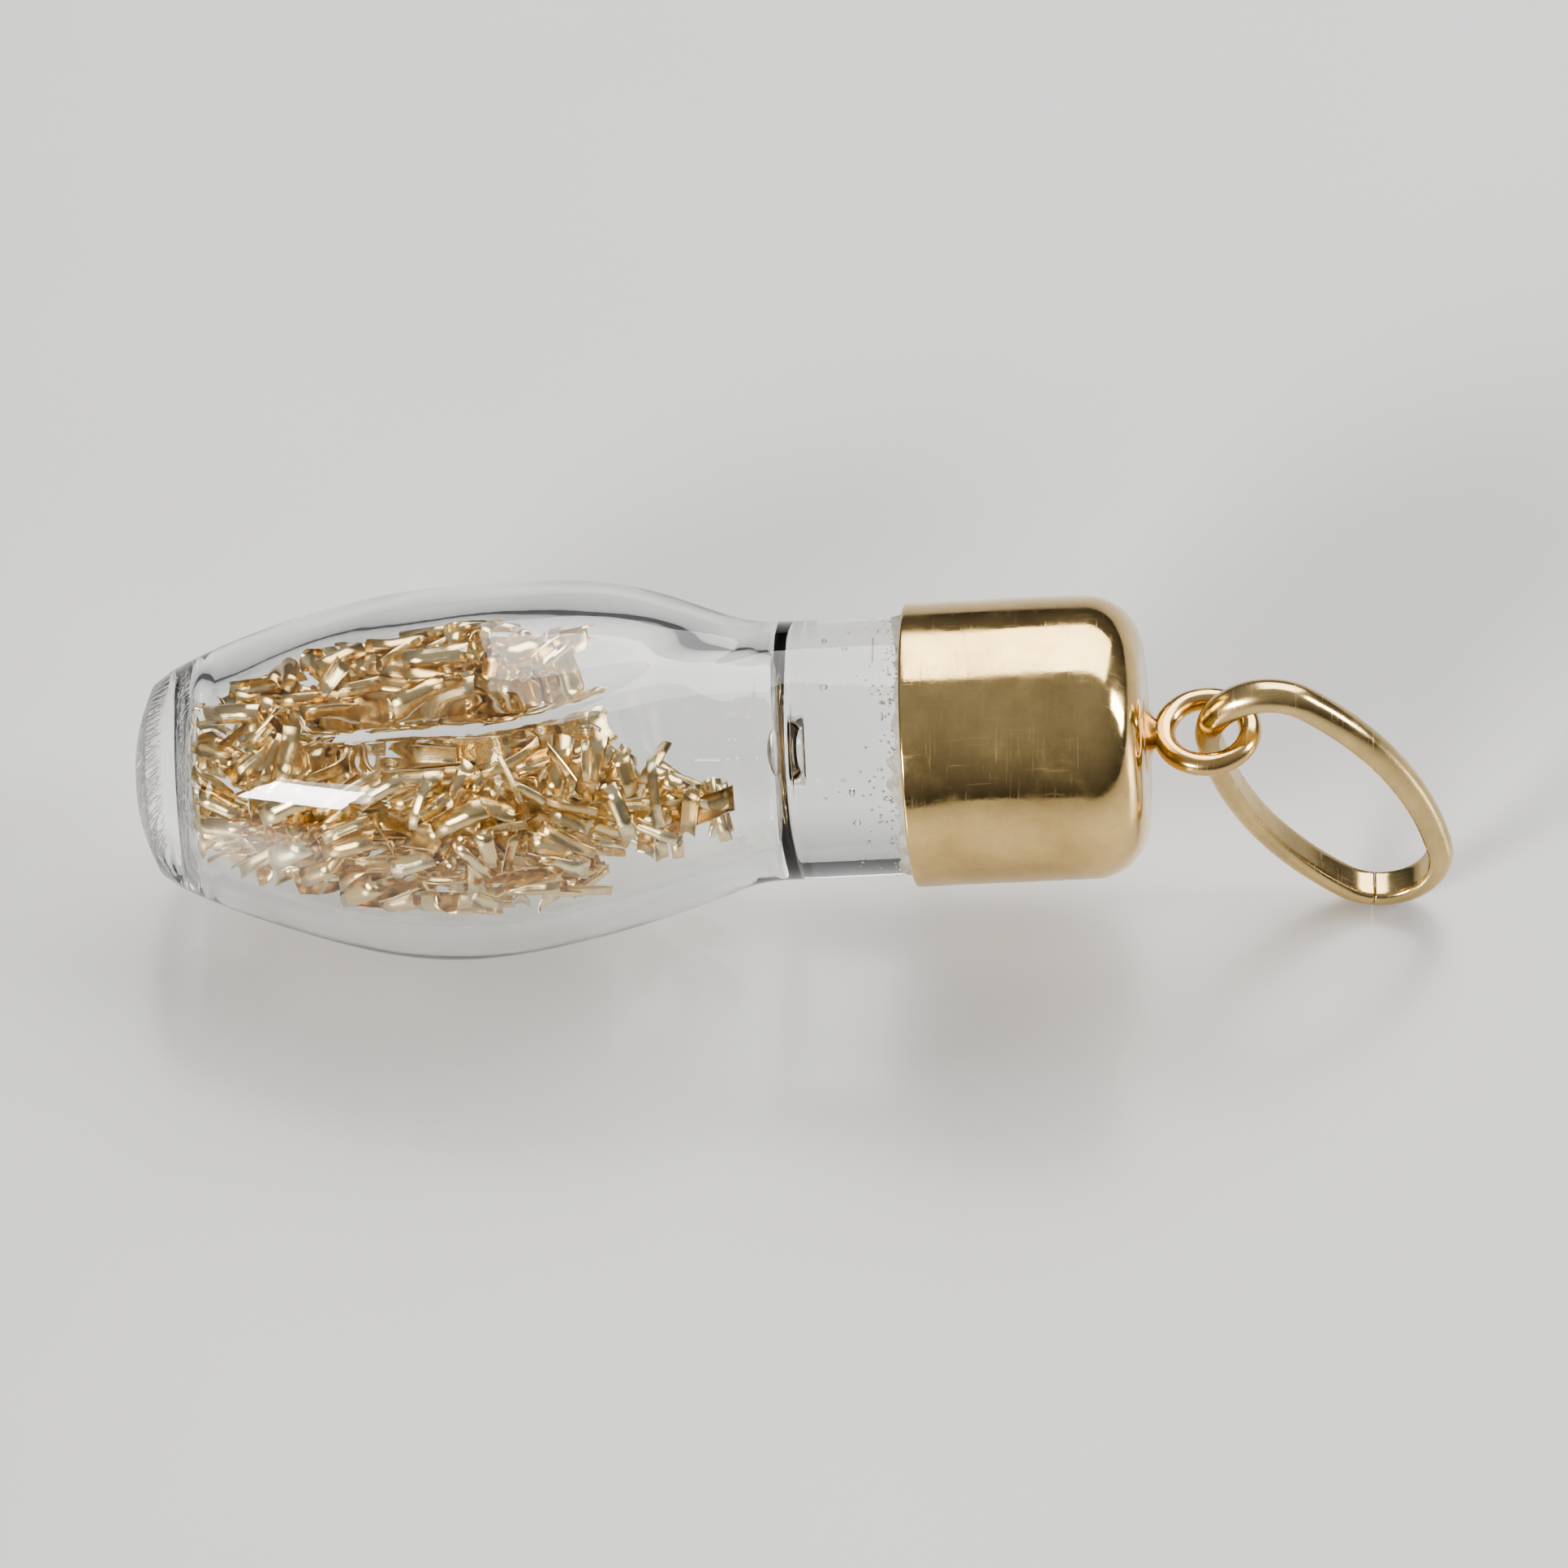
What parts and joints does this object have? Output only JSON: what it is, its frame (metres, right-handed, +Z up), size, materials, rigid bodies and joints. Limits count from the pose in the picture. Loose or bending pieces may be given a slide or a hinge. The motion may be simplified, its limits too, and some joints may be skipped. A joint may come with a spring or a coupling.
{
  "type": "gold foil vial pendant",
  "caption": "Sealed glass bulb of curled gold foil clippings with a glued gold cap, a soldered eye and an oval ring for a chain.",
  "frame": {"origin": "middle of the resting pendant's box, on the surface that it lies on", "axes": "+Z up from that surface; +X from the vial's base towards the ring; the vial's own axis rises 5.8 degrees towards +X"},
  "size_m": [0.035, 0.0096, 0.0102],
  "materials": {
    "clear_glass": "clear lamp-worked glass with a ground base",
    "clear_plug": "clear glass plug with a round nose",
    "dried_cement": "thin, cloudy dried cement",
    "polished_gold": "polished yellow gold with fine scratches",
    "eye_gold": "soft satin yellow gold",
    "solder_gold": "paler gold solder",
    "ring_gold": "slightly dulled yellow gold",
    "gold_foil": "bright pale gold foil"
  },
  "bodies": {
    "pendant": {"glass_vial": "clear_glass", "clear_plug": "clear_plug", "neck_cement": "dried_cement", "cap": "polished_gold", "eye": "eye_gold", "eye_solder": "solder_gold"},
    "ring": {"jump_ring": "ring_gold"},
    "foil": {"base_clippings": "gold_foil", "lower_clippings": "gold_foil", "middle_clippings": "gold_foil", "upper_clippings": "gold_foil", "shoulder_clippings": "gold_foil", "neck_clippings": "gold_foil"}
  },
  "joints": [
    {"name": "ring_swing", "type": "hinge", "parent": "pendant", "child": "ring", "pos_m": [0.01233, 0, 0.00676], "axis": [0, 1, 0], "range_deg": [-155, 35]},
    {"name": "foil_tumble", "type": "hinge", "parent": "pendant", "child": "foil", "pos_m": [-0.00937, 0, 0.00472], "axis": [0.9949, 0, 0.1011], "continuous": true}
  ]
}
